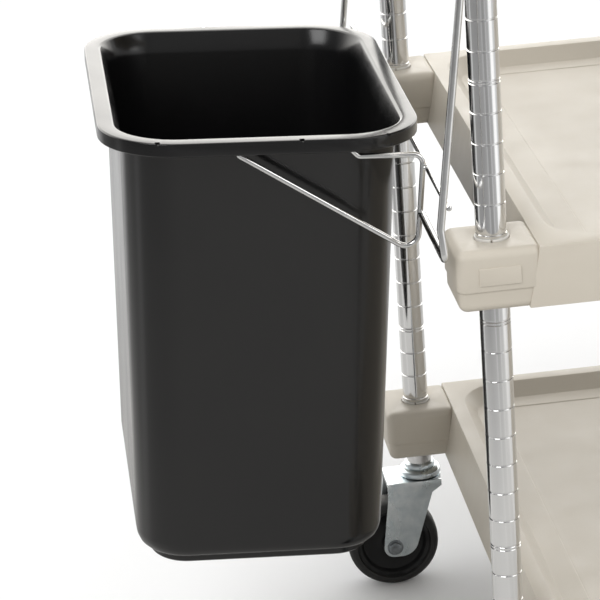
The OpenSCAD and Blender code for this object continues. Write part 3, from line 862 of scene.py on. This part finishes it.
def corner_block(x, y, side):
    """A block about a post axis; side is -1 at the front and 1 at the rear, where its plain plate is."""
    body = block_of((x - BLOCK, y - BLOCK, top_z - SHELF_H), (x + BLOCK, y + BLOCK, top_z))
    edit(body)
    pick(body, "EDGE", lambda a, b: near(a.x, b.x) and near(a.y, b.y))
    bpy.ops.mesh.bevel(offset=8 * MM, segments=5)
    for drop in (0, 0.9 * MM):
        bpy.ops.mesh.select_all(action="SELECT")
        bpy.ops.mesh.bisect(plane_co=(x, y, top_z - STEP - drop), plane_no=(0, 0, 1))
    pick(body, "VERT", lambda p: p.z < top_z - STEP - 0.5 * MM)
    grow((33.8 / 35, 33.8 / 35, 1), (x, y, 0))
    pick(body, "EDGE", lambda a, b: near(a.z, top_z) and near(b.z, top_z))
    bpy.ops.mesh.bevel(offset=7 * MM, segments=6)
    pick(body, "EDGE", lambda a, b: near(a.z, top_z - SHELF_H) and near(b.z, top_z - SHELF_H))
    bpy.ops.mesh.bevel(offset=7 * MM, segments=6)
    bpy.ops.object.mode_set(mode="OBJECT")
    face = y + side * BLOCK
    plate = block_of((x - 17 * MM, face - 1 * MM, top_z - 29 * MM),
                     (x + 17 * MM, face + 0.9 * MM, top_z - 14 * MM))
    edit(plate)
    pick(plate, "EDGE", lambda a, b: near(a.x, b.x) and near(a.z, b.z))
    bpy.ops.mesh.bevel(offset=1.2 * MM, segments=3)
    bpy.ops.object.mode_set(mode="OBJECT")
    bpy.ops.object.select_all(action="DESELECT")
    bpy.ops.mesh.primitive_cone_add(vertices=48, radius1=16.8 * MM, radius2=14.35 * MM, depth=54 * MM,
                                    location=(x, y, top_z - SHELF_H / 2))
    carve(body, bpy.context.object)
    tidy_mesh(body)
    modify(body, "BEVEL", width=0.8 * MM, segments=2, limit_method="ANGLE", angle_limit=math.radians(50))
    modify(plate, "BEVEL", width=0.3 * MM, segments=2, limit_method="ANGLE", angle_limit=math.radians(50))
    print("corner block, open edges", open_edges(body), open_edges(plate))
    return merge(body, plate)


for x in (left_x, right_x):
    for side in (-1, 1):
        merge(shelf, corner_block(x, side * -front_y, side))
settle(shelf, "shelf_moulding_bottom", "frame", "shelf_plastic", ["shelf_bottom"], angle=32)
for level in LEVELS[1:]:
    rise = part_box("shelf_" + level)[1].z - top_z
    duplicate(shelf, "shelf_moulding_" + level, Vector((0, 0, rise)), "frame", "shelf_plastic",
              ["shelf_" + level])
print("shelf", len(shelf.data.polygons), "faces")

# %% [markdown]
# ## Sleeves and caps
# A split sleeve wedges between each post and the block's tapered bore, and shows as a light ring with a
# thin slit. A domed cap closes the top of each post. Both are round, so each is an outline turned about the
# post's axis.

# %% Sleeves
ring = lathe("sleeve", [(r * MM, z * MM) for r, z in (
    (12.75, -43), (16.1, -43), (14.3, -0.4), (14.3, 1.0), (13.9, 1.5), (13.0, 1.5), (12.75, 1.2),
    (12.75, -43))], 56)
carve(ring, block_of((10 * MM, -0.8 * MM, -50 * MM), (20 * MM, 0.8 * MM, 5 * MM)))
ring.matrix_world = Matrix.Rotation(math.radians(-100), 4, "Z")
settle(ring, "sleeve_start", "frame", "sleeve_plastic")
for level in LEVELS:
    for corner in CORNERS:
        low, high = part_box("post_" + corner)
        spot = Vector(((low.x + high.x) / 2, (low.y + high.y) / 2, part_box("shelf_" + level)[1].z))
        duplicate(ring, "sleeve_ring_%s_%s" % (level, corner), spot, "frame", "sleeve_plastic",
                  ["sleeve_%s_%s" % (level, corner)])
bpy.data.objects.remove(ring)


# %% Round parts of every corner
def at_every_corner(piece, node, body, slot, label):
    """Settle a piece made about the front left corner's post axis, and copy it to the other corners."""
    for corner in CORNERS:
        low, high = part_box("post_" + corner)
        spot = Vector(((low.x + high.x) / 2, (low.y + high.y) / 2, 0))
        duplicate(piece, label + "_" + corner, spot, body % corner if "%" in body else body, slot,
                  [node + "_" + corner])
    bpy.data.objects.remove(piece)
    print(label, "on", len(CORNERS), "corners")


# %% Caps
cap_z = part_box("post_front_left")[1].z
dome = [(r, cap_z - 14 * MM + z) for r, z in arc((0, 0), 20.5 * MM, 49, 90, 8)]
cap = lathe("cap", [(0, cap_z - 10 * MM), (10.6 * MM, cap_z - 10 * MM), (10.9 * MM, cap_z),
                    (13.3 * MM, cap_z), (13.3 * MM, cap_z + 1.6 * MM)] + dome[:-1] + [(0, dome[-1][1])], 48)
at_every_corner(cap, "cap", "frame", "cap_plastic", "cap_dome")

# %% [markdown]
# ## Casters
# Each caster has a stem and collar in the post, a pressed race ring, a fork of folded zinc plate, a wheel
# with its tyre, and an axle bolt with its nut. The turned parts are outlines turned about an axis. The fork
# is a side outline drawn from a plate and thickened, joined to the crown.

# %% Stem, collar and race
stem = lathe("stem", [(r * MM, z * MM) for r, z in (
    (0, 109.7), (9.2, 109.7), (10, 110.5), (10, 113.7), (6, 113.7), (6, 120.8), (20.6, 120.8),
    (21.3, 121.3), (21.5, 122.2), (21.5, 125.4), (21.0, 126.8), (19.4, 128.0), (17.6, 128.9), (15.5, 129.0),
    (15.5, 133.0), (14.9, 133.9), (11.0, 134.0), (11.0, 183), (8, 186), (0, 186))], 64)
at_every_corner(stem, "stem", "frame", "caster_zinc", "stem_turned")


# %% Fork
def leg(y):
    """One cheek of the fork: a side outline, 3 mm thick from y on."""
    bpy.ops.object.select_all(action="DESELECT")
    bpy.ops.mesh.primitive_plane_add(size=1, location=(0, 0, 0), rotation=(math.radians(90), 0, 0))
    side = bpy.context.object
    side.scale = (56 * MM, 6.5 * MM, 1)
    side.location = (-9 * MM, y, 116.25 * MM)
    bpy.ops.object.transform_apply(location=True, rotation=True, scale=True)
    edit(side)
    low = 113 * MM
    for drop, moves in ((7, ((1, -10),)), (69.5, ((1, -22), (-1, -9)))):
        pick(side, "EDGE", lambda a, b: near(a.z, low) and near(b.z, low))
        push((0, 0, -drop * MM))
        low -= drop * MM
        for sign, shift in moves:
            pick(side, "VERT", lambda p: near(p.z, low) and (p.x + 20 * MM) * sign > 0)
            bpy.ops.transform.translate(value=(shift * MM, 0, 0))
    pick(side, "VERT", lambda p: near(p.z, low))
    bpy.ops.mesh.bevel(offset=12.5 * MM, segments=8, affect="VERTICES")
    bpy.ops.mesh.select_mode(type="FACE")
    bpy.ops.mesh.select_all(action="SELECT")
    push((0, 3 * MM, 0))
    bpy.ops.mesh.select_all(action="SELECT")
    bpy.ops.mesh.normals_make_consistent(inside=False)
    bpy.ops.object.mode_set(mode="OBJECT")
    return side


bpy.ops.object.select_all(action="DESELECT")
bpy.ops.mesh.primitive_cylinder_add(vertices=64, radius=21.4 * MM, depth=5.5 * MM,
                                    location=(0, 0, 116.75 * MM))
fork = bpy.context.object
bpy.ops.object.transform_apply(location=True, rotation=True, scale=True)
carve(fork, block_of((-36.9 * MM, -20 * MM, 114.1 * MM), (0, 20 * MM, 119.4 * MM)), "UNION")
for y in (-22 * MM, 19 * MM):
    carve(fork, leg(y), "UNION")
tidy_mesh(fork)
modify(fork, "BEVEL", width=0.8 * MM, segments=3, limit_method="ANGLE", angle_limit=math.radians(40))
at_every_corner(fork, "fork", "caster_%s", "caster_zinc", "fork_folded")

# %% Wheel and tyre
TRAIL, AXLE_Z = -33 * MM, 47.5 * MM


def upright(obj):
    """Turn a lathed piece so that its axis is the axle's."""
    obj.matrix_world = Matrix.Translation((TRAIL, 0, AXLE_Z)) @ Matrix.Rotation(math.radians(90), 4, "X")
    bpy.ops.object.select_all(action="DESELECT")
    obj.select_set(True)
    bpy.context.view_layer.objects.active = obj
    bpy.ops.object.transform_apply(location=True, rotation=True, scale=True)
    return obj


def mirrored(half, middle=()):
    """A closed outline in metres from one half of it in mm, with any points between the two halves."""
    return [(r * MM, z * MM) for r, z in [*half, *middle, *((r, -z) for r, z in half[::-1]), half[0]]]


half_core = [(4.1, 18.6), (11.2, 18.6), (12.0, 17.8), (12.6, 9.0), (14.2, 7.6), (19.0, 6.6), (29.5, 6.2),
             (31.6, 7.2), (33.0, 10.4), (34.2, 11.5), (37.9, 11.5)]
core = upright(lathe("core", mirrored(half_core), 72))
at_every_corner(core, "wheel", "roller_%s", "wheel_plastic", "wheel_core")
half_tread = [(38.1, 14.0), (38.6, 14.8), (40.5, 15.0), (43.2, 14.6), (45.6, 12.6), (46.9, 9.6), (47.4, 5.5)]
tread = upright(lathe("tread", mirrored(half_tread, [(47.5, 0)]), 96))
at_every_corner(tread, "tyre", "roller_%s", "tyre_rubber", "tyre_ring")

# %% Axle bolt and nut
def hexagon(y, thick):
    """A bolt's head or nut on the axle's line, with its corners turned down."""
    bpy.ops.object.select_all(action="DESELECT")
    bpy.ops.mesh.primitive_cylinder_add(vertices=6, radius=7.2 * MM, depth=thick, location=(TRAIL, y, AXLE_Z),
                                        rotation=(math.radians(90), 0, 0))
    head = bpy.context.object
    bpy.ops.object.transform_apply(location=True, rotation=True, scale=True)
    modify(head, "BEVEL", width=0.7 * MM, segments=3, limit_method="ANGLE", angle_limit=math.radians(50))
    return head


def disc(y, radius, thick):
    bpy.ops.object.select_all(action="DESELECT")
    bpy.ops.mesh.primitive_cylinder_add(vertices=40, radius=radius, depth=thick, location=(TRAIL, y, AXLE_Z),
                                        rotation=(math.radians(90), 0, 0))
    plate = bpy.context.object
    bpy.ops.object.transform_apply(location=True, rotation=True, scale=True)
    modify(plate, "BEVEL", width=0.3 * MM, segments=2, limit_method="ANGLE", angle_limit=math.radians(50))
    return plate


bolt = merge(disc(4 * MM, 4 * MM, 52 * MM), hexagon(-24.4 * MM, 3.6 * MM),
             disc(-22.3 * MM, 8.4 * MM, 0.9 * MM))
at_every_corner(bolt, "axle", "caster_%s", "bolt_zinc", "axle_bolt")
nut = merge(hexagon(25.4 * MM, 5 * MM), disc(22.4 * MM, 8.4 * MM, 0.9 * MM))
at_every_corner(nut, "nut", "caster_%s", "bolt_zinc", "axle_nut")

# %% Finish
low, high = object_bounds()
